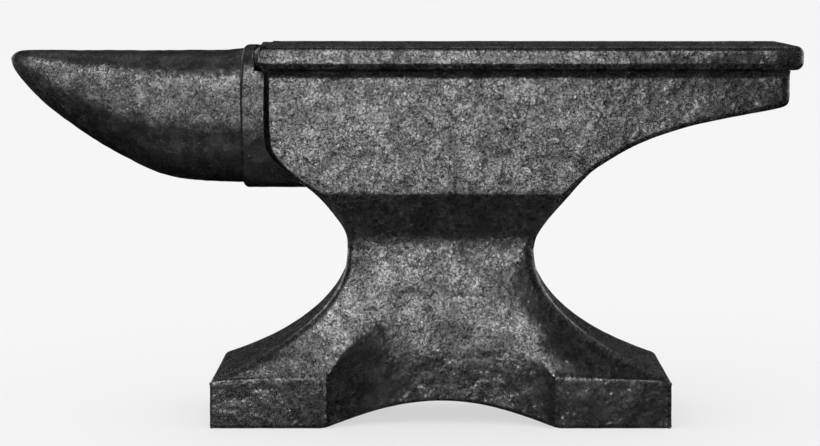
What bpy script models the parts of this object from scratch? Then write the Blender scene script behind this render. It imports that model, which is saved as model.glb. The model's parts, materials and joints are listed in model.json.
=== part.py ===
"""A smith's anvil, modelled as the pieces that are forge-welded into one.

The core is the middle block. Four corner pieces widen its base, the heel block
carries the square and the round hole, the horn's root passes through a collar
into the core, and a hard face plate lies on top.

Frame: metres, +Z up, +X towards the heel, -Y the front. The origin is at the
middle of the outer box, on the floor.
"""

import math

import bmesh
import bpy
import numpy as np

# ---------------------------------------------------------------- dimensions
LENGTH = 0.587              # horn tip to the plate's heel end
BASE_WIDTH = 0.132          # across the feet
HEIGHT = 0.281              # floor to the working face
GAP = 0.0003                # between pieces that touch

TIP_X = -LENGTH / 2
TAIL_X = LENGTH / 2
BASE_X = 0.0292             # middle of the base
BASE_HALF = 0.170           # half of the base's length
SLAB_TOP = 0.0358           # height of the base's upright ends

PLATE_THICK = 0.018
PLATE_HALF = 0.0655         # half of the plate's width
PLATE_LEFT_X = -0.1095
PLATE_FLARE = (0.0065, 0.026)   # how far the plate's horn end is cut back: along X, along Y
PLATE_EDGE = 0.0035
PLATE_CORNER = 0.006

BODY_HALF = 0.061           # half of the body's width under the plate
BODY_FLARE = (0.0045, 0.011)
FLARE_FADE = (0.150, 0.180)     # the body's cut-back grows from nothing to full between these heights
LEAST_FLARE = 0.0002            # what is left of it below them
CREASE_Z = 0.169            # where the body's sides turn in towards the waist

COLLAR_X = -0.1182          # the collar's face towards the horn
COLLAR_Z = 0.2268
COLLAR_RISE = 0.0537        # half of the collar's height
COLLAR_HALF = 0.0530        # half of the collar's width
COLLAR_EDGE = 0.0035
SPIGOT_R = 0.018            # the horn's root inside the collar and the core
SPIGOT_END_X = -0.083

HEEL_X = 0.150              # weld between core and heel
HEEL_END_X = 0.2837
HARDIE_X = 0.2315
HARDIE_SIDE = 0.025
PRITCHEL = (0.2640, 0.030)
PRITCHEL_R = 0.007

NICHE_HALF = 0.084          # the corners stop this far from the middle of the base
NICHE_DEEP = 0.0482         # half thickness of the core between the corners
NICHE_POWER = 3.5           # how square the hollows are in plan
NICHE_TOP = 0.115           # the hollows between the corners have run out at this height
NICHE_BLEND = [(SLAB_TOP + 0.008, 0.0), (0.065, 0.004), (0.095, 0.004), (NICHE_TOP, 0.0)]   # height, softness
CREASE_DROP = 0.0040        # how much lower the crease above the slab lies at the base's ends
ARCH_HALF = 0.0895          # the hollow under the base
ARCH_RISE = 0.0173

# Heights of the core's sections: from, to, count.
SECTION_LEVELS = [(0.0, 0.0385, 3), (0.043, 0.0865, 8), (0.093, CREASE_Z, 11), (0.174, 0.222, 8)]
COLLAR_FOOT_Z = 0.160       # below this height the collar has run out
COLLAR_LEAN = (0.215, 0.030)    # below this height, over this drop, the collar's end leans
CUT_REACH = 0.1             # how far a cutter reaches past the piece on either side
CUT_LOW, CUT_HIGH = 0.18, 0.30  # the heel's holes are cut between these heights

PLATE_BOTTOM = HEIGHT - PLATE_THICK
CORE_TOP = PLATE_BOTTOM - GAP

# Side outline of the horn's underside, from the tip to the root.
HORN_UNDER = [
    (TIP_X, 0.2696), (-0.2911, 0.2624), (-0.2851, 0.2538), (-0.2733, 0.2408), (-0.2569, 0.2266),
    (-0.2271, 0.2062), (-0.1897, 0.1864), (-0.1670, 0.1795), (-0.1445, 0.1773), (COLLAR_X, 0.1765),
]
# Side outline of the core under the collar, from the plate down to the waist.
HORN_SIDE = [(-0.0960, CORE_TOP), (-0.0960, 0.218), (-0.0923, 0.2008), (-0.0779, 0.1857),
             (-0.0586, 0.1697), (-0.0456, 0.1500), (-0.0408, 0.1400), (-0.0399, 0.1300)]
# Underside of the heel, from the waist to the heel's end.
HEEL_SIDE = [(0.0984, 0.1300), (0.1002, 0.1380), (0.1045, 0.1460), (0.1128, 0.1580), (0.1325, 0.1819),
             (0.1456, 0.1932), (0.1746, 0.2097), (0.2108, 0.2222), (0.2500, 0.2304), (0.2745, 0.2350),
             (0.2822, 0.2383), (HEEL_END_X, 0.2450)]
# Half width of the waist and the feet, from the floor up to the crease.
WAIST = [(0.0, 0.0660), (0.0400, 0.0660), (0.0445, 0.0630), (0.0530, 0.0585), (0.0610, 0.0553),
         (0.0720, 0.0520), (0.0850, 0.0490), (0.1000, 0.0465), (0.1150, 0.0447), (0.1300, 0.0438),
         (0.1420, 0.0445), (0.1500, 0.0478), (0.1590, 0.0535), (CREASE_Z, BODY_HALF)]


# ------------------------------------------------------------ outlines
def smooth_line(points, per_span=8):
    """Catmull-Rom curve through the points, as an array of points."""
    p = np.array(points, dtype=float)
    p = np.vstack([2 * p[0] - p[1], p, 2 * p[-1] - p[-2]])
    t = np.linspace(0.0, 1.0, per_span, endpoint=False)[:, None]
    spans = []
    for a, b, c, d in zip(p[:-3], p[1:-2], p[2:-1], p[3:]):
        spans.append(0.5 * (2 * b + (c - a) * t + (2 * a - 5 * b + 4 * c - d) * t ** 2
                            + (3 * b - a - 3 * c + d) * t ** 3))
    return np.vstack(spans + [p[-2][None, :]])


def flare_line():
    """Half length of the base and the waist against height: one cubic Bezier arc."""
    a, b, c, d = np.array([(BASE_HALF, SLAB_TOP), (0.110, 0.0585), (0.0692, 0.0900), (0.0692, 0.1300)])
    t = np.linspace(0.0, 1.0, 60)[:, None]
    return (1 - t) ** 3 * a + 3 * (1 - t) ** 2 * t * b + 3 * (1 - t) * t ** 2 * c + t ** 3 * d


FLARE = flare_line()
WAIST_LINE = smooth_line(WAIST)
HORN_SIDE_LINE = smooth_line(HORN_SIDE)
HEEL_SIDE_LINE = smooth_line(HEEL_SIDE)


def half_width(z):
    """Half width of the feet, the waist and the body at height z."""
    return np.minimum(np.interp(z, WAIST_LINE[:, 0], WAIST_LINE[:, 1]), BASE_WIDTH / 2)


def base_half(z):
    """Half length of the base at height z."""
    return np.interp(z, FLARE[:, 1], FLARE[:, 0])


def foot_top(x):
    """Height of the base's concave top at x."""
    return np.interp(abs(x - BASE_X), FLARE[::-1, 0], FLARE[::-1, 1])


def niche(x):
    """Half thickness of the core between the corner pieces: a power curve in plan."""
    u = abs(x - BASE_X) / NICHE_HALF
    return NICHE_DEEP + (BASE_WIDTH / 2 - NICHE_DEEP) * u ** NICHE_POWER


def front_half(x, z):
    """Half width at x and z: the smaller of waist and niche, the change between them rounded."""
    outward = np.clip((abs(x - BASE_X) - NICHE_HALF) / (BASE_HALF - NICHE_HALF), 0.0, 1.0)
    waist = half_width(z + CREASE_DROP * outward * (z > SLAB_TOP / 2))
    soft = np.interp(z, *zip(*NICHE_BLEND))
    least = 0.5 * (waist + niche(x) - np.sqrt((waist - niche(x)) ** 2 + soft ** 2))
    return np.where(z < NICHE_TOP, least, waist)


def core_ends(z):
    """Where the core starts and stops along X at height z."""
    if z < FLARE[-1, 1]:
        half = min(base_half(z), NICHE_HALF - GAP / 2)
        return BASE_X - half, BASE_X + half
    left = np.interp(-z, -HORN_SIDE_LINE[:, 1], HORN_SIDE_LINE[:, 0])
    right = np.interp(z, HEEL_SIDE_LINE[:, 1], HEEL_SIDE_LINE[:, 0])
    return left, min(right, HEEL_X - GAP / 2)


def super_ellipse(half_y, half_z, power, count):
    """Points (y, z) round a super-ellipse: y and z carry the power 2 / power of cosine and sine."""
    a = np.linspace(0.0, 2 * math.pi, count, endpoint=False)
    y = np.sign(np.cos(a)) * np.abs(np.cos(a)) ** (2 / power) * half_y
    z = np.sign(np.sin(a)) * np.abs(np.sin(a)) ** (2 / power) * half_z
    return y, z


# ------------------------------------------------------------ mesh makers
def clear_scene():
    for thing in list(bpy.data.objects):
        bpy.data.objects.remove(thing, do_unlink=True)


def iron(name, shade, roughness):
    """A dark forged metal."""
    finish = bpy.data.materials.new(name)
    finish.use_nodes = True
    shader = finish.node_tree.nodes["Principled BSDF"]
    shader.inputs["Base Color"].default_value = (shade, shade, shade * 1.03, 1.0)
    shader.inputs["Roughness"].default_value = roughness
    shader.inputs["Metallic"].default_value = 0.9
    return finish


def add_piece(name, verts, faces, finish):
    """One closed body, with its faces turned outwards."""
    mesh = bpy.data.meshes.new(name)
    mesh.from_pydata([tuple(v) for v in verts], [], faces)
    shaper = bmesh.new()
    shaper.from_mesh(mesh)
    bmesh.ops.recalc_face_normals(shaper, faces=shaper.faces)
    shaper.to_mesh(mesh)
    shaper.free()
    piece = bpy.data.objects.new(name, mesh)
    bpy.context.scene.collection.objects.link(piece)
    if finish is not None:
        mesh.materials.append(finish)
    return piece


def loft(name, rings, finish=None):
    """A skin over rings of equal length, closed by a flat face at each end; a ring of one point is a tip."""
    verts = np.vstack(rings)
    starts = np.cumsum([0] + [len(r) for r in rings])
    faces = []
    for ring, below, above in zip(range(len(rings)), rings[:-1], rings[1:]):
        n = max(len(below), len(above))
        for i in range(n):
            j = (i + 1) % n
            corners = [starts[ring] + i % len(below), starts[ring] + j % len(below),
                       starts[ring + 1] + j % len(above), starts[ring + 1] + i % len(above)]
            faces.append(list(dict.fromkeys(int(c) for c in corners)))
    if len(rings[0]) > 1:
        faces.append(list(range(len(rings[0]))))
    if len(rings[-1]) > 1:
        faces.append([int(starts[-2]) + i for i in range(len(rings[-1]))])
    return add_piece(name, verts, faces, finish)


def across(outline, y_low, y_high):
    """Two rings: a side outline (x, z) carried straight across, from y_low to y_high."""
    outline = np.array(outline)
    return [np.column_stack([outline[:, 0], np.full(len(outline), y), outline[:, 1]])
            for y in (y_low, y_high)]


def upright(outline, z_low, z_high):
    """Two rings: a plan outline (x, y) carried straight up."""
    outline = np.array(outline)
    return [np.column_stack([outline, np.full(len(outline), z)]) for z in (z_low, z_high)]


def round_bar(x_low, x_high, z, radius, count=32):
    """Two rings of a round bar along X."""
    y, up = super_ellipse(radius, radius, 2.0, count)
    return [np.column_stack([np.full(count, x), y, z + up]) for x in (x_low, x_high)]


def cut(piece, cutter):
    """Take the cutter's shape out of the piece."""
    cutter.hide_render = True
    cutter.display_type = "WIRE"
    knife = piece.modifiers.new("cut_" + cutter.name, "BOOLEAN")
    knife.operation = "DIFFERENCE"
    knife.solver = "EXACT"
    knife.object = cutter


def smooth_round(piece, angle=35):
    piece.data.shade_smooth()
    piece.data.set_sharp_from_angle(angle=math.radians(angle))


# ------------------------------------------------------------ pieces
def make_core(finish):
    """The middle block: level sections stacked from the floor up to the face plate."""
    levels = np.concatenate([np.linspace(*span) for span in SECTION_LEVELS] + [[CORE_TOP]])
    rings = []
    for z in levels:
        x_left, x_right = core_ends(z)
        fade = np.interp(z, FLARE_FADE, (0.0, 1.0))
        back_x, back_y = (max(size * fade, LEAST_FLARE) for size in BODY_FLARE)
        x = np.linspace(x_left, x_right, 17)
        front = front_half(x, z)
        x = np.concatenate([[x_left - back_x], x])
        front = np.concatenate([[front[0] - back_y], front])
        rings.append(np.vstack([np.column_stack([x, -front, np.full(len(x), z)]),
                                np.column_stack([x, front, np.full(len(x), z)])[::-1]]))
    core = loft("body_core", rings, finish)
    cut(core, arch_cutter("core_arch"))
    socket = loft("spigot_socket", round_bar(COLLAR_X, SPIGOT_END_X + GAP, COLLAR_Z, SPIGOT_R + GAP))
    cut(core, socket)
    smooth_round(core, 25)
    return core


def arch_cutter(name):
    """The long hollow under the base: rise times (1 - u^2)^1.45 across its span."""
    u = np.linspace(-1.0, 1.0, 25)
    arch = np.column_stack([BASE_X + u * ARCH_HALF, ARCH_RISE * (1 - u ** 2) ** 1.45])
    below = [(BASE_X + side * (ARCH_HALF + ARCH_RISE), -ARCH_RISE) for side in (-1, 1)]
    outline = np.vstack([below[:1], arch, below[1:]])
    return loft(name, across(outline, -CUT_REACH, CUT_REACH))


def make_foot(name, side_x, side_y, finish):
    """One corner piece: upright sections set side by side from the core out to the base's end."""
    rings = []
    for reach in np.linspace(NICHE_HALF + GAP / 2, BASE_HALF, 13):
        x = BASE_X + side_x * reach
        z = np.concatenate([[0.0, SLAB_TOP / 2], np.linspace(SLAB_TOP - GAP, foot_top(x), 9)])
        y = np.concatenate([[GAP / 2], front_half(x, z), [GAP / 2]])
        z = np.concatenate([[0.0], z, [z[-1]]])
        rings.append(np.column_stack([np.full(len(y), x), side_y * y, z]))
    foot = loft(name, rings, finish)
    cut(foot, arch_cutter(name + "_arch"))
    smooth_round(foot, 25)
    return foot


def make_heel(finish):
    """The tapered block behind the core, with the square and the round hole."""
    under = HEEL_SIDE_LINE[HEEL_SIDE_LINE[:, 0] > HEEL_X + GAP / 2]
    start_z = np.interp(HEEL_X, HEEL_SIDE_LINE[:, 0], HEEL_SIDE_LINE[:, 1])
    outline = np.vstack([[(HEEL_X + GAP / 2, CORE_TOP), (HEEL_X + GAP / 2, start_z)], under,
                         [(HEEL_END_X, CORE_TOP)]])
    heel = loft("heel_block", across(outline, -BODY_HALF, BODY_HALF), finish)
    for cutter in hole_cutters("heel"):
        cut(heel, cutter)
    return heel


def hole_cutters(name):
    """The square hole for tools and the round hole for punching."""
    half = HARDIE_SIDE / 2
    square = np.array([(-half, -half), (half, -half), (half, half), (-half, half)]) + (HARDIE_X, 0.0)
    y, x = super_ellipse(PRITCHEL_R, PRITCHEL_R, 2.0, 24)
    circle = np.column_stack([PRITCHEL[0] + x, PRITCHEL[1] + y])
    return [loft(name + "_square_hole", upright(square, CUT_LOW, CUT_HIGH)),
            loft(name + "_round_hole", upright(circle, CUT_LOW, CUT_HIGH))]


def make_horn(finish):
    """Round sections from the blunt tip to the collar, then the straight spigot."""
    under = smooth_line(HORN_UNDER)
    reach = (COLLAR_X - GAP / 2 - TIP_X) * np.linspace(0.0, 1.0, 27)[1:] ** 2
    rings = [np.array([(TIP_X, 0.0, HORN_UNDER[0][1])])]
    for s in reach:
        low = np.interp(TIP_X + s, under[:, 0], under[:, 1])
        high = horn_top(s)
        y, up = super_ellipse((high - low) / 2, (high - low) / 2, 2.1, 36)
        rings.append(np.column_stack([np.full(36, TIP_X + s), y, (high + low) / 2 + up]))
    rings += round_bar(COLLAR_X - GAP / 2, SPIGOT_END_X, COLLAR_Z, SPIGOT_R, 36)
    horn = loft("horn", rings, finish)
    smooth_round(horn)
    return horn


def horn_top(s):
    """Height of the horn's top line at a distance s from its tip: level, rounded at the tip."""
    flare = max(s - 0.150, 0.0) / 0.025
    return 0.2762 - 0.0066 * math.exp(-s / 0.0035) + 0.0018 * flare ** 2


def make_collar(finish):
    """The round neck between horn and core, shaped to the core's end and bored for the spigot."""
    start = COLLAR_X + GAP / 2
    rings = []
    edge = [(start, COLLAR_EDGE), (start + 0.0010, 0.0013), (start + COLLAR_EDGE, 0.0)]
    for x, less in edge + [(HORN_SIDE[-2][0], 0.0)]:
        y, up = super_ellipse(COLLAR_HALF - less, COLLAR_RISE - less, 2.6, 48)
        rings.append(np.column_stack([np.full(48, x), y, COLLAR_Z + up]))
    collar = loft("horn_collar", rings, finish)
    side = HORN_SIDE_LINE[(HORN_SIDE_LINE[:, 1] > COLLAR_FOOT_Z) & (HORN_SIDE_LINE[:, 1] < CORE_TOP)]
    core_side = side - (BODY_FLARE[0] + GAP, 0.0)
    lean = np.clip((COLLAR_LEAN[0] - side[:, 1]) / COLLAR_LEAN[1], 0.0, 1.0)
    core_side[:, 1] -= lean * BODY_FLARE[0] / 2
    plate_end = PLATE_LEFT_X - GAP
    outline = np.vstack([[(plate_end, CUT_HIGH), (plate_end, CORE_TOP), (core_side[0, 0], CORE_TOP)],
                         core_side, [(0.0, core_side[-1, 1]), (0.0, CUT_HIGH)]])
    cut(collar, loft("collar_end", across(outline, -CUT_REACH, CUT_REACH)))
    cut(collar, loft("collar_bore", round_bar(COLLAR_X - COLLAR_EDGE, 0.0, COLLAR_Z, SPIGOT_R + GAP)))
    smooth_round(collar)
    return collar


def make_plate(finish):
    """The hard face plate: a bar whose horn end is cut back at the sides, with soft edges."""
    back_x, back_y = PLATE_FLARE
    turn = np.linspace(0.0, math.pi / 2, 5)
    corner_x = TAIL_X - PLATE_CORNER + PLATE_CORNER * np.sin(turn)
    corner_y = PLATE_HALF - PLATE_CORNER + PLATE_CORNER * np.cos(turn)
    half = np.vstack([[(PLATE_LEFT_X, PLATE_HALF - back_y), (PLATE_LEFT_X + back_x, PLATE_HALF)],
                      np.column_stack([corner_x, corner_y])])
    outline = np.vstack([half, (half * (1, -1))[::-1]])
    plate = loft("face_plate", upright(outline, PLATE_BOTTOM, HEIGHT), finish)
    soft = plate.modifiers.new("soft_edges", "BEVEL")
    soft.width = PLATE_EDGE
    soft.segments = 3
    soft.limit_method = "ANGLE"
    soft.angle_limit = math.radians(60)
    for cutter in hole_cutters("plate"):
        cut(plate, cutter)
    smooth_round(plate, 30)
    return plate


def build():
    clear_scene()
    forged = iron("forged_iron", 0.085, 0.55)
    face = iron("face_steel", 0.095, 0.45)
    make_core(forged)
    for word_y, side_y in (("front", -1), ("back", 1)):
        for word_x, side_x in (("left", -1), ("right", 1)):
            make_foot("foot_" + word_y + "_" + word_x, side_x, side_y, forged)
    make_heel(forged)
    make_horn(forged)
    make_collar(forged)
    make_plate(face)


build()
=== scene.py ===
"""The looks of a smith's anvil: nine forge-welded pieces with a skin of dark forge scale.

Metres, +Z up, +X towards the heel, -Y the front. Each piece is a grid of points worked out
from the frame's own boxes, with the scale's relief pressed into it.
"""

import json
import math

import bmesh
import bpy
import numpy as np
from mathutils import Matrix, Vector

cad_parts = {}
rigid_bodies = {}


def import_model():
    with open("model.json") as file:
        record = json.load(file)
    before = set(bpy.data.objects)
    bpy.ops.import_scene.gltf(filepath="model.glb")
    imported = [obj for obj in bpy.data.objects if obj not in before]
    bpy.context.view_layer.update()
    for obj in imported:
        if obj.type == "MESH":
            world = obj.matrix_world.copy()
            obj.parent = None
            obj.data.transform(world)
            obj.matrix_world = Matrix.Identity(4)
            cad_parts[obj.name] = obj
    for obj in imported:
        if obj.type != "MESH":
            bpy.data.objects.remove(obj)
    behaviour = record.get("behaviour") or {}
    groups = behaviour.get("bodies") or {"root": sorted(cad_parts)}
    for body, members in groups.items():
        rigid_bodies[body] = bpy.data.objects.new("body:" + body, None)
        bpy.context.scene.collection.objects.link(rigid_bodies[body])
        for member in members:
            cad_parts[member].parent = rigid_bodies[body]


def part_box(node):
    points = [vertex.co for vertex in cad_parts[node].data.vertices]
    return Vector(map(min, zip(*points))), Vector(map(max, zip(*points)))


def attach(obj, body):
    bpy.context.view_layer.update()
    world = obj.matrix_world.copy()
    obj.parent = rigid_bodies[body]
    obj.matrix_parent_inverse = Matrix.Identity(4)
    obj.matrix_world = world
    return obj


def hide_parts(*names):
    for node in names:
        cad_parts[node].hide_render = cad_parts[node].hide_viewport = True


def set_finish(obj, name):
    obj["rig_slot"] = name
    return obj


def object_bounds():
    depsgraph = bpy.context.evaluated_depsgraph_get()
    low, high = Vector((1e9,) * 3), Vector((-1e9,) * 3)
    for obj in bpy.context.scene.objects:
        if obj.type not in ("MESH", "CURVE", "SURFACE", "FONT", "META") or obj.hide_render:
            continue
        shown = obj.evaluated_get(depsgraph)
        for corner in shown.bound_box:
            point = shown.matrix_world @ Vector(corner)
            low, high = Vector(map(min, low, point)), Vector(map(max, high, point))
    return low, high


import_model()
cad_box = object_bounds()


# ------------------------------------------------------------------ core
# The middle block of wrought iron, from the arched sole through the waist to the flat under
# the face plate. It is forged from one bar, and the corner pieces, the heel and the horn are
# welded to it, so its front runs on into theirs without a step.
core_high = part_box("body_core")[1]
feet_low, feet_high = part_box("foot_front_left")[0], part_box("foot_back_right")[1]
base_x = (feet_low.x + feet_high.x) / 2
base_half = (feet_high.x - feet_low.x) / 2
base_deep = feet_high.y
niche_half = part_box("foot_back_right")[0].x - base_x
heel_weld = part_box("heel_block")[0].x
heel_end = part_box("heel_block")[1].x
body_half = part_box("heel_block")[1].y
core_top = core_high.z

slab_top = 0.0358
niche_deep = 0.0482
niche_power = 3.5
niche_top = 0.115
niche_softness = ((slab_top + 0.008, 0.065, 0.095, niche_top), (0.0, 0.004, 0.004, 0.0))
arch_half = 0.0895
arch_rise = 0.0173
edge_radius = 0.0035
sole_radius = 0.0022
slab_radius = 0.0036
waist_radius = 0.0080
flare_radius = 0.0065
side_fall = 0.0070
side_fall_heights = (0.0375, 0.055, 0.080, 0.125)
crease_drop = 0.0035
crease_drop_heights = (0.020, 0.030)
wall_radius = 0.0012
heel_radius = 0.0065
wall_back = 0.0045
wall_deep = 0.018
wall_fade = (0.150, 0.180)
sharp_angle = math.radians(52)
last_step = 2e-5
slot = 0.0042
cove_radius = 0.0058
cove_deep = 0.0036


def smooth_line(points, per_span=8):
    """Catmull-Rom curve: each span blends its four neighbours with cubic weights."""
    p = np.array(points, dtype=float)
    p = np.vstack([2 * p[0] - p[1], p, 2 * p[-1] - p[-2]])
    t = np.linspace(0.0, 1.0, per_span, endpoint=False)[:, None]
    spans = [0.5 * (2 * b + (c - a) * t + (2 * a - 5 * b + 4 * c - d) * t ** 2
                    + (3 * b - a - 3 * c + d) * t ** 3)
             for a, b, c, d in zip(p[:-3], p[1:-2], p[2:-1], p[3:])]
    return np.vstack(spans + [p[-2][None, :]])


horn_side = smooth_line([(-0.0960, core_top), (-0.0960, 0.218), (-0.0923, 0.2008), (-0.0779, 0.1857),
                         (-0.0586, 0.1697), (-0.0456, 0.1500), (-0.0408, 0.1400), (-0.0399, 0.1300)])
heel_side = smooth_line([(0.0984, 0.1300), (0.1002, 0.1380), (0.1045, 0.1460), (0.1128, 0.1580),
                         (0.1325, 0.1819), (0.1456, 0.1932), (0.1746, 0.2097), (0.2108, 0.2222),
                         (0.2500, 0.2304), (0.2745, 0.2350), (0.2822, 0.2383), (heel_end, 0.2450)])
waist_side = smooth_line([(0.0, 0.0660), (0.0360, 0.0660), (0.0390, 0.0651), (0.0430, 0.0632),
                          (0.0520, 0.0593), (0.0610, 0.0556), (0.0720, 0.0518), (0.0850, 0.0487),
                          (0.1000, 0.0462),
                          (0.1150, 0.0443), (0.1300, 0.0434), (0.1420, 0.0441), (0.1500, 0.0474),
                          (0.1590, 0.0530), (0.1660, 0.0582), (0.1705, 0.0603), (0.1750, body_half),
                          (0.2000, body_half)])


def bezier(a, b, c, d, count):
    """Cubic Bezier arc: four points weighted by the terms of (t + (1 - t)) cubed."""
    a, b, c, d = np.array([a, b, c, d])
    t = np.linspace(0.0, 1.0, count)[:, None]
    return (1 - t) ** 3 * a + 3 * (1 - t) ** 2 * t * b + 3 * (1 - t) * t ** 2 * c + t ** 3 * d


flare = bezier((base_half, slab_top), (0.110, 0.0585), (0.0692, 0.0900), (0.0692, 0.1300), 90)


def step_back(away, radius):
    """How far a quarter-round edge has stepped back at a distance from it: radius less circle height."""
    inside = np.clip(radius - away, 0.0, radius)
    return radius - np.sqrt(radius ** 2 - inside ** 2)


def foot_top(x):
    """Height of the base's hollow top at x, rounded down at the base's ends."""
    reach = np.abs(x - base_x)
    top = np.interp(reach, flare[::-1, 0], flare[::-1, 1])
    return top - step_back(base_half - reach, slab_radius)


def sole(x):
    """Height of the underside at x: the arch is its rise times (1 - u squared) to the power 1.45."""
    u = np.clip((x - base_x) / arch_half, -1.0, 1.0)
    return arch_rise * (1 - u ** 2) ** 1.45 + step_back(base_half - np.abs(x - base_x), sole_radius)


def plain_half(x, z):
    """Half width before its edges are rounded: a soft minimum of the waist's curve and the niche's power
    curve. Above the base the waist also falls away towards its sides, by the square of the distance."""
    outward = np.clip((np.abs(x - base_x) - niche_half) / (base_half - niche_half), 0.0, 1.0)
    lifted = z + crease_drop * outward * np.interp(z, crease_drop_heights, (0.0, 1.0))
    waist = np.minimum(np.interp(lifted, waist_side[:, 0], waist_side[:, 1]), base_deep)
    half = np.interp(z, flare[:, 1], flare[:, 0])
    aside = np.clip(np.abs(x - base_x) / half * 2 - 1, 0.0, 1.0)
    waist = waist - side_fall * aside ** 2 * np.interp(z, side_fall_heights, (0.0, 1.0, 1.0, 0.0))
    niche = niche_deep + (base_deep - niche_deep) * np.abs((x - base_x) / niche_half) ** niche_power
    soft = np.interp(z, *niche_softness)
    least = 0.5 * (waist + niche - np.sqrt((waist - niche) ** 2 + soft ** 2))
    cove = np.clip(1 - (core_top - z) / cove_radius, 0.0, 1.0)
    waist = waist + cove_deep * (1 - np.sqrt(1 - cove ** 2))
    return np.where(z < niche_top, least, waist)


def side_outline():
    """The body's outline seen from the front, as rows of x, z and edge radius: down the horn side, round the
    base and up to the heel's end. The waist's edges are rounder than the others."""
    top_x = np.concatenate([np.linspace(base_half, base_half - slab_radius, 8)[:-1],
                            np.linspace(base_half - slab_radius, flare[-1, 0], 60)])
    top_z = foot_top(base_x + top_x)
    top_z[-1] = flare[-1, 1]
    turn_radius = np.interp(base_half - top_x, (0.004, 0.090, 0.095, 0.105),
                            (slab_radius, flare_radius, flare_radius, waist_radius))
    foot = np.column_stack([top_x, top_z, turn_radius])[::-1]
    fade = np.interp(horn_side[:, 1], wall_fade, (0.0, 1.0))
    left = np.column_stack([horn_side, waist_radius + (wall_radius - waist_radius) * fade])
    under_x = np.linspace(-base_half, base_half, 121)
    under = np.column_stack([base_x + under_x, sole(base_x + under_x), np.full(121, sole_radius)])
    heel_turn = np.interp(heel_side[:, 0], (0.105, 0.135, 0.255, 0.280), (1.0, 0.0, 0.0, 1.0))
    wide = np.where(heel_side[:, 0] < 0.2, waist_radius, heel_radius)
    right = np.column_stack([heel_side, edge_radius + (wide - edge_radius) * heel_turn])
    mirror = foot * (-1, 1, 1) + (base_x, 0, 0)
    end = [(heel_end, core_top, heel_radius)]
    return np.vstack([left, mirror, under, (foot + (base_x, 0, 0))[::-1], right, end])


outline = side_outline()


def front_half(x, z):
    """Half width at x and z, stepped back by a quarter round of the outline's radius along the outline."""
    x, z = np.broadcast_arrays(x, z)
    step = np.zeros(x.shape)
    for a, b in zip(outline[:-1], outline[1:]):
        run = b - a
        along = ((x - a[0]) * run[0] + (z - a[1]) * run[1]) / (run[0] ** 2 + run[1] ** 2 + 1e-18)
        along = np.clip(along, 0.0, 1.0)
        away = np.hypot(x - a[0] - along * run[0], z - a[1] - along * run[1])
        step = np.maximum(step, step_back(away, a[2] + along * run[2]))
    return plain_half(x, z) - step


def noise(points, cell, seed):
    """Gradient noise: a seeded unit gradient at each corner of a cubic lattice, dotted with the way to the
    point and blended by the fifth-power fade curve."""
    table = np.random.default_rng(seed).normal(size=(4096, 3))
    table /= np.linalg.norm(table, axis=1, keepdims=True)
    place = points / cell
    corner = np.floor(place).astype(np.int64)
    part = place - corner
    fade = part ** 3 * (part * (part * 6 - 15) + 10)
    total = np.zeros(points.shape[:-1])
    for step in np.ndindex(2, 2, 2):
        key = (corner + step) @ np.array([73856093, 19349663, 83492791])
        gradient = table[(key ^ (key >> 11)) % 4096]
        weight = np.prod(np.where(step, fade, 1 - fade), axis=-1)
        total += weight * ((part - step) * gradient).sum(-1)
    return total


grain_stretch = 0.4
hollow_deep = 0.00022
scab_deep = 0.00010
pit_deep = 0.00004


def relief(points):
    """Depth pressed into the surface, in metres and never outwards: hammer hollows, scabs of scale and pits.
    The pattern is drawn out along Y, the way the iron was forged."""
    place = points * (1.0, grain_stretch, 1.0)
    broad = noise(place, 0.034, 11)
    scab = noise(place, 0.0095, 12) + 0.5 * noise(place, 0.0048, 13)
    fine = noise(place, 0.0026, 14)
    flake = np.clip(scab * 2.2 + 0.5, 0.0, 1.0)
    flake = flake * flake * (3 - 2 * flake)
    pits = np.clip(0.4 - fine * 1.5, 0.0, 1.0)
    return -hollow_deep * np.maximum(0.5 + broad, 0.0) - scab_deep * (1 - flake) - pit_deep * pits


def joined(x, y, z):
    """Points from three arrays of coordinates that are spread to one shape."""
    return np.stack(np.broadcast_arrays(x, y, z), axis=-1)


def facing(grid, middle):
    """Unit normals of a grid of points, from the cross product of its two directions, turned away from a
    middle point."""
    normal = np.cross(np.gradient(grid, axis=1), np.gradient(grid, axis=0))
    normal /= np.linalg.norm(normal, axis=-1, keepdims=True) + 1e-15
    if (normal * (grid - middle)).sum() < 0:
        normal = -normal
    return normal


def pressed(grid, middle, share=1.0):
    """The grid with the relief pressed into it along its normals, times a share."""
    return grid + facing(grid, np.array(middle)) * (relief(grid) * share)[..., None]


def end_face(edge, target, axis, count, share=1.0):
    """Rings from an edge ring in to a target line or point, with the relief pressed in against an axis."""
    s = np.linspace(0.0, 1.0, count + 1)[1:, None, None]
    rings = edge + (target - edge) * s
    return rings + np.array(axis) * (relief(rings) * share)[..., None]


def ring_faces(rings):
    """The points' numbers, ring by ring, and the four-sided faces between neighbouring rings."""
    index = np.arange(rings.shape[0] * rings.shape[1]).reshape(rings.shape[:2])
    onward = np.roll(index, -1, axis=1)
    return index, np.stack([index[:-1], onward[:-1], onward[1:], index[1:]], axis=-1).reshape(-1, 4)


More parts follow.
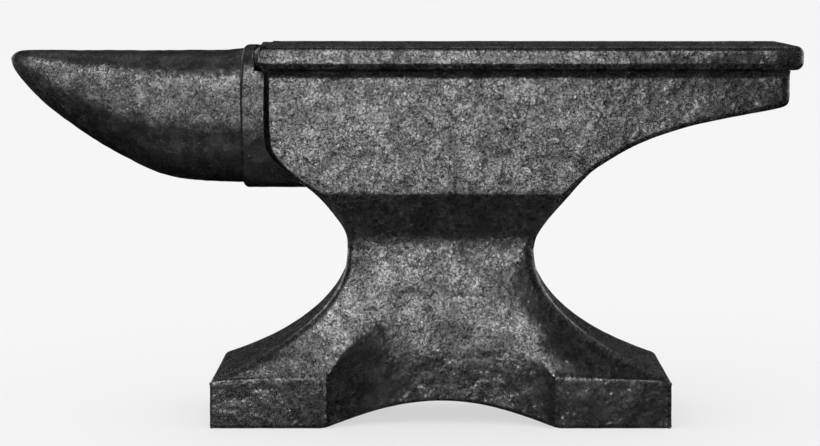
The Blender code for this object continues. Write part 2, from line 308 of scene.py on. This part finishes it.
def skin(name, rings, node, slot, finish):
    """One closed piece: neighbouring rings joined by four-sided faces, points that fall together merged.
    Every point is held inside the anvil's outer box."""
    rings = np.clip(rings, *[np.array(corner) for corner in cad_box])
    mesh = bpy.data.meshes.new(name)
    mesh.from_pydata(rings.reshape(-1, 3), [], ring_faces(rings)[1])
    shaper = bmesh.new()
    shaper.from_mesh(mesh)
    bmesh.ops.remove_doubles(shaper, verts=shaper.verts, dist=2e-6)
    bmesh.ops.recalc_face_normals(shaper, faces=shaper.faces)
    if shaper.calc_volume(signed=True) < 0:
        bmesh.ops.reverse_faces(shaper, faces=shaper.faces)
    shaper.to_mesh(mesh)
    shaper.free()
    mesh.shade_smooth()
    mesh.set_sharp_from_angle(angle=sharp_angle)
    mesh.materials.append(finish)
    piece = bpy.data.objects.new(name, mesh)
    bpy.context.scene.collection.objects.link(piece)
    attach(piece, "root")
    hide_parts(node)
    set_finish(piece, slot)
    return piece


class Value:
    """A shader socket that takes Python's operators: each operator adds one Math node."""

    def __init__(self, finish, socket):
        self.finish, self.socket = finish, socket

    def math(self, operation, *others):
        return self.finish.node("Math", {"operation": operation}, dict(enumerate((self,) + others)))

    def __add__(self, other):
        return self.math("ADD", other)

    def __sub__(self, other):
        return self.math("SUBTRACT", other)

    def __rsub__(self, other):
        return self.finish.node("Math", {"operation": "SUBTRACT"}, {0: other, 1: self})

    def __mul__(self, other):
        return self.math("MULTIPLY", other)

    __radd__ = __add__
    __rmul__ = __mul__

    def between(self, low, high):
        """0 below low, 1 above high, a smooth step in between."""
        settings = {"interpolation_type": "SMOOTHSTEP"}
        return self.finish.node("MapRange", settings, {"Value": self, "From Min": low, "From Max": high})


class Finish:
    """A new material, whose nodes all come from node()."""

    def __init__(self, name):
        self.material = bpy.data.materials.new(name)
        self.material.use_nodes = True
        self.tree = self.material.node_tree
        self.tree.nodes.clear()

    def node(self, kind, settings=None, sockets=None, output=0):
        """Add a node of this type: its settings, then its sockets' values or links. Gives one output."""
        added = self.tree.nodes.new("ShaderNode" + kind)
        for name, value in (settings or {}).items():
            setattr(added, name, value)
        for name, value in (sockets or {}).items():
            if isinstance(value, Value):
                self.tree.links.new(value.socket, added.inputs[name])
            else:
                added.inputs[name].default_value = value
        return Value(self, added.outputs[output]) if added.outputs else None


def forge_scale(name, dark, light, wear):
    """Metal under a crackled, flaking skin of dark scale, its pattern drawn out along Y. Scabs and smaller
    flakes stand up in steps; the dark lines along their edges are the scale's own joins darkened further as
    painted shade, and bare specks are lightened as painted glints."""
    finish = Finish(name)
    place = finish.node("TexCoord", output=3)
    drawn = finish.node("Mapping", {}, {"Vector": place, "Scale": (1.0, grain_stretch, 1.0)})

    def speckle(scale, detail, rough):
        return finish.node("TexNoise", {}, {"Vector": drawn, "Scale": scale, "Detail": detail,
                                            "Roughness": rough})

    def near_half(value, width):
        """1 where the value is one half, 0 further than the width from it: a thin line round each patch."""
        return 1 - (value - 0.5).math("ABSOLUTE").between(0.0, width)

    patches = speckle(42.0, 3.0, 0.6).between(0.42, 0.58)
    scabs = speckle(200.0, 5.0, 0.68)
    flakes = speckle(480.0, 3.0, 0.65)
    # Dark lines along the scab and flake edges: partly the scale's own joins, partly painted shade in the
    # hollows.
    edges = near_half(scabs, 0.022) * (0.70 + 0.25 * patches)
    small_edges = near_half(flakes, 0.030) * (0.30 + 0.60 * patches)
    broken = speckle(260.0, 2.0, 0.6).between(0.42, 0.54)
    cracks_and_painted_shade = edges.math("MAXIMUM", small_edges) * (0.25 + 0.75 * broken)
    # Bare specks, lighter and shinier: partly bare metal, partly a painted glint.
    flecks_and_painted_glints = speckle(420.0, 2.0, 0.6).between(0.60, 0.63) * (0.3 + 0.7 * patches)
    height = scabs.between(0.485, 0.515) * 0.5 + flakes.between(0.48, 0.52) * (0.32 + 0.28 * patches)
    bump = finish.node("Bump", {}, {"Strength": 1.0, "Distance": 0.00095, "Height": height})
    # Colour: random tone, lightened at the bare specks as painted glints and darkened along the edge lines as
    # painted shade.
    tone = ((speckle(90.0, 4.0, 0.6).between(0.42, 0.60) * 0.36 + 0.32) * (0.76 + 0.42 * patches)
            + flecks_and_painted_glints * 0.85) * (1 - cracks_and_painted_shade * 0.92)
    colour = finish.node("Mix", {"data_type": "RGBA"}, {0: tone, 6: dark + (1.0,), 7: light + (1.0,)}, 2)
    rough = 0.22 - 0.04 * flecks_and_painted_glints + 0.20 * cracks_and_painted_shade - wear
    shader = finish.node("BsdfPrincipled", {}, {"Base Color": colour, "Roughness": rough, "Metallic": 0.98,
                                                "Normal": bump})
    finish.node("OutputMaterial", {}, {"Surface": shader})
    return finish.material


forged_iron = forge_scale("forged_iron_scale", (0.045, 0.045, 0.045), (0.36, 0.36, 0.365), 0.0)


spine_share = 0.4
top_middle = 0.02


def core_rings():
    """Level rings from the arched sole to the flat top: front, heel side, back, horn side."""
    low_share = np.concatenate([[0.0, 0.003, 0.010, 0.022, 0.040], np.linspace(0.065, 1.0, 28)])
    upper = np.linspace(slab_top, core_top, 196)[1:]
    height = np.concatenate([np.full(len(low_share), slab_top), upper])[:, None]
    share = np.concatenate([low_share, np.ones(len(upper))])[:, None]

    reach = np.interp(height, flare[:, 1], flare[:, 0])
    left = np.where(height < flare[-1, 1], base_x - reach,
                    np.interp(-height, -horn_side[:, 1], horn_side[:, 0]))
    right = np.where(height < flare[-1, 1], base_x + reach,
                     np.interp(height, heel_side[:, 1], heel_side[:, 0]))
    at_foot = (reach >= niche_half) & (height < flare[-1, 1])
    left = np.where(at_foot, base_x - niche_half, left)
    right = np.where(at_foot, base_x + niche_half, np.minimum(right, heel_weld))

    turn = edge_radius * (1 - np.cos(np.linspace(0.0, math.pi / 2, 7)))
    climb = height[:, 0] + share[:, 0] * slab_top
    lean_left = np.clip(np.abs(np.gradient(left[:, 0], climb)), 0.0, 1.6)[:, None]
    lean_right = np.clip(np.abs(np.gradient(right[:, 0], climb)), 0.0, 1.6)[:, None]
    near_left = turn * np.hypot(1.0, lean_left)
    near_right = (turn * np.hypot(1.0, lean_right))[:, ::-1]
    u = np.linspace(0.0, 1.0, 150)[None, 1:-1]
    inner_left, inner_right = left + near_left[:, -1:], right - near_right[:, :1]
    x = np.hstack([left + near_left, inner_left + (inner_right - inner_left) * u, right - near_right])
    z = sole(x) + (height - sole(x)) * share
    y = front_half(x, z)

    fade = np.interp(height, wall_fade, (0.0, 1.0))
    wall = np.linspace(0.0, math.pi / 2, 12)[None, 1:]
    wall_x = left - (1 - np.cos(wall)) * wall_back * fade
    wall_y = y[:, :1] - np.sin(wall) * wall_deep * np.maximum(fade, 0.1)
    rim_left = np.linspace(1.0, -1.0, 28)[None, 1:-1]
    rim_right = np.linspace(-1.0, 1.0, 36)[None, 1:-1]
    z_left, z_right = z[:, :1], z[:, -1:]

    front = joined(x, -y, z)
    heel_side_strip = joined(right, rim_right * y[:, -1:], z_right)
    back = joined(x, y, z)[:, ::-1]
    horn_side_strip = np.concatenate([joined(wall_x, wall_y, z_left),
                                      joined(wall_x[:, -1:], rim_left * wall_y[:, -1:], z_left),
                                      joined(wall_x, -wall_y, z_left)[:, ::-1]], axis=1)
    middle = (base_x, 0.0, 0.13)
    seen_left = np.where(at_foot, 0.0, 1.0)
    seen_right = np.where(at_foot | (right >= heel_weld), 0.0, 1.0)
    body = np.concatenate([pressed(front, middle), pressed(heel_side_strip, middle, seen_right),
                           pressed(back, middle), pressed(horn_side_strip, middle, seen_left)], axis=1)
    plain = np.concatenate([front, heel_side_strip, back, horn_side_strip], axis=1)

    spine_x = base_x + (plain[0, :, 0] - base_x) * spine_share
    under = end_face(plain[0], joined(spine_x, 0.0, sole(spine_x)), (0, 0, -1), 14)
    inwards = np.linspace(0.0, 1.0, 15)[1:, None]
    straight = sole(plain[0, :, 0]) * (1 - inwards) + sole(spine_x) * inwards
    under[..., 2] += sole(under[..., 0]) - straight
    spine_x = top_middle + (plain[-1, :, 0] - top_middle) * spine_share
    top = end_face(plain[-1], joined(spine_x, 0.0, plain[-1, :, 2]), (0, 0, 1), 2, 0.0)
    return np.concatenate([under[::-1], body, top])


skin("anvil_core", core_rings(), "body_core", "forged_iron", forged_iron)


# ------------------------------------------------------------------ corner pieces
# Four wedges forge-welded to the core's corners to widen the base. Each has an upright end,
# a hollow top that sweeps up to the waist, and the front that runs on from the core's.
def foot_rings(side_x, side_y):
    """Upright sections from the weld out to the base's end: sole, front and top, closed along the middle."""
    turn = np.linspace(0.0, math.pi / 2, 8)[:-1]
    reach = np.concatenate([np.linspace(niche_half, base_half - slab_radius, 76)[:-1],
                            base_half - slab_radius * (1 - np.sin(turn)), [base_half - last_step]])
    x = base_x + side_x * reach[:, None]
    low, high = sole(x), foot_top(x)
    sole_turn = sole_radius * (1 - np.cos(np.linspace(0.0, math.pi / 2, 5)))[None, :]
    top_turn = edge_radius * (1 - np.cos(np.linspace(0.0, math.pi / 2, 8)))[None, ::-1]
    u = np.linspace(0.0, 1.0, 50)[None, 1:-1]
    start, stop = low + sole_turn[:, -1:], high - top_turn[:, :1] * 1.1
    z = np.hstack([low + sole_turn, start + (stop - start) * u, high - top_turn * 1.1])
    y = front_half(x + 0 * z, z) * side_y

    across_low = joined(x, y[:, :1] * np.linspace(0.0, 1.0, 34)[None, :-1], low)
    front = joined(x, y, z)
    across_top = joined(x, y[:, -1:] * np.linspace(1.0, 0.0, 56)[None, 1:], high)
    middle = (base_x + side_x * 0.12, side_y * 0.02, 0.02)
    body = np.concatenate([pressed(strip, middle) for strip in (across_low, front, across_top)], axis=1)
    plain = np.concatenate([across_low, front, across_top], axis=1)
    down = np.linspace(1.0, 0.0, 5)[None, 1:-1]
    inner = joined(x, 0.0, low + (high - low) * down)
    inner_body = inner.copy()
    inner_body[-1, :, 0] += side_x * relief(inner[-1])
    plain = np.concatenate([plain, inner], axis=1)
    body = np.concatenate([body, inner_body], axis=1)
    outer = end_face(plain[-1], np.array([plain[-1, 0, 0], side_y * 0.033, 0.018]), (side_x, 0, 0), 24)
    weld_centre = plain[0].mean(axis=0)
    weld = end_face(plain[0], weld_centre, (1, 0, 0), 2, 0.0)
    return np.concatenate([weld[::-1], body, outer])


for word_y, side_y in (("front", -1), ("back", 1)):
    for word_x, side_x in (("left", -1), ("right", 1)):
        place = word_y + "_" + word_x
        skin("corner_piece_" + place, foot_rings(side_x, side_y), "foot_" + place, "forged_iron", forged_iron)


# ------------------------------------------------------------------ heel
# The tapered block behind the waist, welded to the core. It holds up the plate's overhang and
# carries the square hole for tools and the round hole for punching.
def heel_rings():
    """Upright sections from the weld to the heel's end: front, top, back and the curved underside."""
    turn = np.linspace(0.0, math.pi / 2, 9)[:-1]
    x = np.concatenate([np.linspace(heel_weld, heel_end - heel_radius, 108)[:-1],
                        heel_end - heel_radius * (1 - np.sin(turn)), [heel_end - last_step]])[:, None]
    low = np.interp(x, heel_side[:, 0], heel_side[:, 1])
    turn_z = edge_radius * (1 - np.cos(np.linspace(0.0, math.pi / 2, 8)))[None, :] * 1.1
    u = np.linspace(0.0, 1.0, 50)[None, 1:]
    start = low + turn_z[:, -1:]
    z = np.hstack([low + turn_z, start + (core_top - start) * u])
    y = front_half(x + 0 * z, z)

    front = joined(x, -y, z)
    top = joined(x, y[:, -1:] * np.linspace(-1.0, 1.0, 6)[None, 1:-1], core_top)
    back = joined(x, y, z)[:, ::-1]
    under = joined(x, y[:, :1] * np.linspace(1.0, -1.0, 92)[None, 1:-1], low)
    middle = (0.21, 0.0, 0.24)
    body = np.concatenate([pressed(front, middle), top, pressed(back, middle), pressed(under, middle)],
                          axis=1)
    plain = np.concatenate([front, top, back, under], axis=1)
    tail = end_face(plain[-1], np.array([heel_end - 2e-5, 0.0, 0.254]), (1, 0, 0), 20)
    weld = end_face(plain[0], plain[0].mean(axis=0), (1, 0, 0), 2, 0.0)
    return np.concatenate([weld[::-1], body, tail])


heel = skin("anvil_heel", heel_rings(), "heel_block", "forged_iron", forged_iron)


def square_plan(half, count=16):
    """A square's outline (x, y) with its corners rounded: a super-ellipse of power 12."""
    a = np.linspace(0.0, 2 * math.pi, 4 * count, endpoint=False)
    size = (np.abs(np.cos(a)) ** 12 + np.abs(np.sin(a)) ** 12) ** (-1 / 12)
    return np.column_stack([np.cos(a), np.sin(a)]) * (half * size)[:, None]


def round_plan(radius, count=48):
    """A circle's outline (x, y)."""
    a = np.linspace(0.0, 2 * math.pi, count, endpoint=False)
    return radius * np.column_stack([np.cos(a), np.sin(a)])


punch_foot = 0.18
punch_head = 0.30


def punch(piece, centre, plan, top, mouth):
    """Cut a straight hole down through a piece, its mouth opened out over the last depth below the top."""
    size = np.abs(plan).max()
    levels = [(punch_foot, 0.0), (top - mouth, 0.0), (top - mouth * 0.4, mouth * 0.35), (top, mouth),
              (punch_head, mouth * 2)]
    rings = np.array([np.column_stack([centre + plan * (1 + more / size), np.full(len(plan), z)])
                      for z, more in levels])
    mesh = bpy.data.meshes.new("punch")
    index, sides = ring_faces(rings)
    ends = [index[0, ::-1].tolist(), index[-1].tolist()]
    mesh.from_pydata(rings.reshape(-1, 3), [], sides.tolist() + ends)
    tool = bpy.data.objects.new("punch", mesh)
    bpy.context.scene.collection.objects.link(tool)
    knife = piece.modifiers.new("punched", "BOOLEAN")
    knife.operation = "DIFFERENCE"
    knife.solver = "EXACT"
    knife.object = tool
    bpy.context.view_layer.update()
    cut = bpy.data.meshes.new_from_object(piece.evaluated_get(bpy.context.evaluated_depsgraph_get()))
    piece.modifiers.remove(knife)
    piece.data = cut
    cut.set_sharp_from_angle(angle=sharp_angle)
    bpy.data.objects.remove(tool, do_unlink=True)


square_hole = (np.array([0.2315, 0.0]), square_plan(0.0125))
round_hole = (np.array([0.2640, 0.030]), round_plan(0.0070))
for hole_centre, hole_plan in (square_hole, round_hole):
    punch(heel, hole_centre, hole_plan, core_top, 0.0002)


# ------------------------------------------------------------------ collar
# A round band between horn and body, a little larger than the horn. Its inner end is dressed
# to the body's side, so it reaches under the body's slope.
collar_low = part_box("horn_collar")[0]
plate_low, plate_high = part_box("face_plate")
plate_cut = (0.0065, 0.026)
least_slot = 0.0008
slot_fade = (0.165, 0.195)


def round_section(half_y, half_z, power, count):
    """Points (y, z) round a super-ellipse: cosine and sine carry the power 2 / power."""
    a = np.linspace(0.0, 2 * math.pi, count, endpoint=False)
    y = np.sign(np.cos(a)) * np.abs(np.cos(a)) ** (2 / power)
    z = np.sign(np.sin(a)) * np.abs(np.sin(a)) ** (2 / power)
    return half_y * y, half_z * z


# The horn and the collar take a darker copy of the scale: the darker colours are painted shade.
horn_iron_painted_shade = forge_scale("horn_scale_painted_shade", (0.03, 0.03, 0.03), (0.20, 0.20, 0.204), -0.10)


def collar_rings():
    """Super-ellipse rings: the face towards the horn, its rounded edge, then along to the body's outline."""
    half_y, half_z, centre = 0.0530, 0.0537, 0.2268
    radius, power, count = 0.0040, 2.6, 260
    start = collar_low.x
    turn = np.linspace(0.0, math.pi / 2, 8)
    rings = []
    for a in turn:
        less = radius * (1 - math.sin(a))
        y, z = round_section(half_y - less, half_z - less, power, count)
        rings.append(np.column_stack([np.full(count, start + radius * (1 - math.cos(a))), y, centre + z]))
    y, z = round_section(half_y, half_z, power, count)
    z = centre + z
    fade = np.interp(z, slot_fade, (0.0, 1.0))
    end = np.interp(-z, -horn_side[:, 1], horn_side[:, 0]) - least_slot - (slot - least_slot) * fade
    end = np.where(z > core_top - 0.0005, plate_low.x + plate_cut[0] - slot - least_slot, end)
    x0 = start + radius
    for t in np.linspace(0.0, 1.0, 46)[1:]:
        rings.append(np.column_stack([x0 + (end - x0) * t, y, z]))
    plain = np.array(rings)
    body = pressed(plain, (-0.1, 0.0, centre))
    face = end_face(plain[0], np.array([start, 0.0, centre]), (-1, 0, 0), 12)
    inside = end_face(plain[-1], np.array([-0.09, 0.0, centre]), (1, 0, 0), 2, 0.0)
    return np.concatenate([face[::-1], body, inside])


collar = skin("anvil_collar", collar_rings(), "horn_collar", "forged_iron", horn_iron_painted_shade)


# ------------------------------------------------------------------ horn
# The round tapering beak, forged from one bar. Its top runs level with the face, its
# underside sweeps up to a blunt tip, and its root passes through the collar.
horn_low, horn_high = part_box("horn")
tip_height = 0.2696
tip_radius = 0.0035
top_dip = 0.0018
tip_dip = 0.0066
rise_start = 0.150
rise_length = 0.025


def horn_rings():
    """Nearly round rings between the level top line and the curved underside, closer near the tip."""
    under = smooth_line([(horn_low.x, tip_height), (-0.2911, 0.2624), (-0.2851, 0.2538), (-0.2733, 0.2408),
                         (-0.2569, 0.2266), (-0.2271, 0.2062), (-0.1897, 0.1864), (-0.1670, 0.1795),
                         (-0.1445, 0.1773), (collar_low.x, 0.1765)])
    length = collar_low.x + 0.001 - horn_low.x
    t = np.linspace(0.0, 1.0, 186)[1:, None]
    s = length * (0.35 * t ** 2 + 0.65 * t ** 1.15)
    low = np.interp(horn_low.x + s, under[:, 0], under[:, 1])
    rise = np.minimum(np.maximum(s - rise_start, 0.0) / rise_length, 1.0)
    high = horn_high.z - top_dip - tip_dip * np.exp(-s / tip_radius) + top_dip * rise ** 2
    y, z = round_section(1.0, 1.0, 2.1, 250)
    half = (high - low) / 2
    plain = joined(horn_low.x + s, half * y, (high + low) / 2 + half * z)
    body = pressed(plain, (-0.2, 0.0, 0.23), np.minimum(s / 0.05, 1.0) * 1.8)
    tip = np.broadcast_to([horn_low.x, 0.0, tip_height], (1,) + plain.shape[1:])
    root = end_face(plain[-1], plain[-1].mean(axis=0), (1, 0, 0), 2, 0.0)
    return np.concatenate([tip, body, root])


horn = skin("anvil_horn", horn_rings(), "horn", "forged_iron", horn_iron_painted_shade)


# ------------------------------------------------------------------ face plate
# The hard steel plate welded on top. Its horn end is cut back at the sides, its edges are
# dressed round, and the two holes of the heel pass through it.
face_steel = forge_scale("face_steel_scale", (0.045, 0.045, 0.045), (0.36, 0.36, 0.365), 0.02)
plate_edge = 0.0055
bend_length = 0.022
bend_deep = 0.0022
corner_length = 0.006


def plate_plan():
    """Half of the plate's plan outline, from the middle of the horn end to the middle of the heel end."""
    left, right, half = plate_low.x, plate_high.x, plate_high.y
    end = np.column_stack([np.full(34, left), np.linspace(0.0, half - plate_cut[1], 34)])
    a = np.linspace(math.pi / 2, 0.0, 27)[1:]
    cut = np.column_stack([left + plate_cut[0] * np.cos(a), half - plate_cut[1] * np.sin(a)])
    bend_start, corner_start = right - bend_length, right - corner_length
    side = np.column_stack([np.linspace(left + plate_cut[0], bend_start, 330)[1:], np.full(329, half)])
    u = np.linspace(0.0, 1.0, 15)[1:]
    bend = np.column_stack([bend_start + (corner_start - bend_start) * u, half - bend_deep * u ** 2])
    tilt = math.atan(2 * bend_deep / (bend_length - corner_length))
    radius = (right - corner_start) / (1 - math.sin(tilt))
    a = np.linspace(tilt, math.pi / 2, 14)[1:]
    corner = np.column_stack([right - radius + radius * np.sin(a),
                              half - bend_deep - radius * (math.cos(tilt) - np.cos(a))])
    heel_edge = np.column_stack([np.full(50, right), np.linspace(corner[-1, 1], 0.0, 51)[1:]])
    return np.vstack([end, cut, side, bend, corner, heel_edge])


def plate_rings():
    """The plan outline carried up the plate's edge, with quarter rounds below and above that widen at the
    ends, and closed by faces that shrink to a line along the middle."""
    half_plan = plate_plan()
    plan = np.vstack([half_plan, (half_plan * (1, -1))[-2:0:-1]])
    run = np.roll(plan, -2, axis=0) - np.roll(plan, 2, axis=0)
    inward = np.stack([run[:, 1], -run[:, 0]], axis=-1)
    inward /= np.linalg.norm(inward, axis=-1, keepdims=True)
    near_horn = np.clip((plate_low.x + 0.016 - plan[:, 0]) / 0.010, 0.0, 1.0)
    near_heel = np.clip((plan[:, 0] - plate_high.x + 0.014) / 0.014, 0.0, 1.0)
    radius = (plate_edge + 0.0012 * near_horn ** 2 + 0.0008 * near_heel)[None, :]
    turn = np.linspace(0.0, math.pi / 2, 8)[:, None]
    less = radius * (1 - np.sin(turn))
    low_z = plate_low.z + radius * (1 - np.cos(turn))
    high_z = plate_high.z - radius * (1 - np.cos(turn[::-1]))
    between = low_z[-1:] + (high_z[:1] - low_z[-1:]) * np.linspace(0.0, 1.0, 12)[1:-1, None]
    levels = np.vstack([low_z, between, high_z])
    inset = np.vstack([less, 0 * between, less[::-1]])
    plain = np.concatenate([plan + inward * inset[..., None], levels[..., None]], axis=-1)
    body = pressed(plain, (0.1, 0.0, 0.272), 0.8)

    def spine(ring):
        x = np.clip(ring[:, 0], plate_low.x + 0.030, plate_high.x - 0.062)
        return np.column_stack([x, np.zeros(len(x)), ring[:, 2]])

    top = end_face(plain[-1], spine(plain[-1]), (0, 0, 1), 58, 0.8)
    under = end_face(plain[0], spine(plain[0]), (0, 0, -1), 6, 0.0)
    return np.concatenate([under[::-1], body, top])


plate = skin("anvil_face_plate", plate_rings(), "face_plate", "face_steel", face_steel)
for hole_centre, hole_plan in (square_hole, round_hole):
    punch(plate, hole_centre, hole_plan, plate_high.z - 0.0004, 0.0012)


# ------------------------------------------------------------------ floor and light
# A pale floor that reaches past the top of the view and glows by itself, so that its shadows
# stay faint, and soft boxes round the anvil. Two of the boxes light only the horn's end.
def plain_floor():
    """A flat square that glows, mirrors nothing back and casts no shadow, so low light can pass it."""
    finish = Finish("pale_floor")
    shader = finish.node("BsdfPrincipled", {}, {"Base Color": (0.30, 0.30, 0.30, 1.0), "Roughness": 1.0,
                                                "Specular IOR Level": 0.0, "Emission Strength": 1.0,
                                                "Emission Color": (0.615, 0.615, 0.615, 1.0)})
    finish.node("OutputMaterial", {}, {"Surface": shader})
    mesh = bpy.data.meshes.new("pale_floor")
    corners = [(-60.0, -20.0, 0.0), (60.0, -20.0, 0.0), (60.0, 100.0, 0.0), (-60.0, 100.0, 0.0)]
    mesh.from_pydata(corners, [], [(0, 1, 2, 3)])
    mesh.materials.append(finish.material)
    floor = bpy.data.objects.new("pale_floor", mesh)
    bpy.context.scene.collection.objects.link(floor)
    floor.visible_glossy = False
    floor.visible_diffuse = False
    floor.visible_shadow = False


plain_floor()


def lit_group(name, pieces):
    """A collection of pieces that a light shines on."""
    group = bpy.data.collections.new(name)
    for piece in pieces:
        group.objects.link(piece)
    return group


every_piece = lit_group("anvil_pieces", [thing for thing in bpy.data.objects if thing.get("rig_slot")])
horn_end = lit_group("horn_end", [horn, collar])


def soft_box(name, azimuth, elevation, distance, width, height, radiance, lights=every_piece):
    """A rectangular light aimed at the anvil. Azimuth 0 is the front, positive to the right."""
    a, e = math.radians(azimuth), math.radians(elevation)
    away = np.array([math.sin(a) * math.cos(e), -math.cos(a) * math.cos(e), math.sin(e)])
    lamp = bpy.data.lights.new(name, "AREA")
    lamp.shape = "RECTANGLE"
    lamp.size = width
    lamp.size_y = height
    lamp.energy = radiance * math.pi * width * height
    box = bpy.data.objects.new(name, lamp)
    box.location = away * distance + (0.0, 0.0, 0.15)
    box.rotation_euler = (math.pi / 2 - e, 0.0, a)
    bpy.context.scene.collection.objects.link(box)
    if lights is not None:
        box.light_linking.receiver_collection = lights


soft_box("key_box", -21, 17, 2.6, 3.1, 2.45, 1.85)
soft_box("high_box", -38, 55, 2.5, 2.2, 1.0, 0.9)
soft_box("horn_box", -38, 60, 2.5, 1.6, 0.9, 3.8, lights=horn_end)
soft_box("low_box", -35, -48, 2.5, 2.4, 1.0, 0.35, lights=horn_end)
soft_box("back_wall", 180, 10, 3.0, 4.0, 0.8, 0.03)
soft_box("window", -50, 30, 6.0, 4.0, 3.0, 0.9, lights=None)
soft_box("back_right_box", 132, 10, 3.0, 2.6, 1.6, 1.1)
soft_box("back_left_box", -132, 10, 3.0, 2.6, 1.6, 1.1)
soft_box("top_box", 180, 62, 2.6, 2.2, 1.4, 0.4)
soft_box("right_box", 100, 5, 3.0, 1.6, 1.4, 0.4)

world = bpy.data.worlds.new("studio")
bpy.context.scene.world = world
world.use_nodes = True
world.node_tree.nodes["Background"].inputs["Color"].default_value = (1.0, 1.0, 1.0, 1.0)
world.node_tree.nodes["Background"].inputs["Strength"].default_value = 1.0
world.cycles_visibility.glossy = False


# ------------------------------------------------------------------ camera
# Level with the face and a little above it, square to the front, with a long lens.
lens = bpy.data.cameras.new("camera")
lens.sensor_width = 36.0
lens.lens = 103.17
lens.shift_x = -0.0287
lens.clip_end = 200.0
camera = bpy.data.objects.new("camera", lens)
camera.location = (0.0239, -1.768, 0.3358)
camera.rotation_euler = (math.radians(90 - 6.15), 0.0, 0.0)
bpy.context.scene.collection.objects.link(camera)
bpy.context.scene.camera = camera
bpy.context.scene.view_settings.view_transform = "Standard"
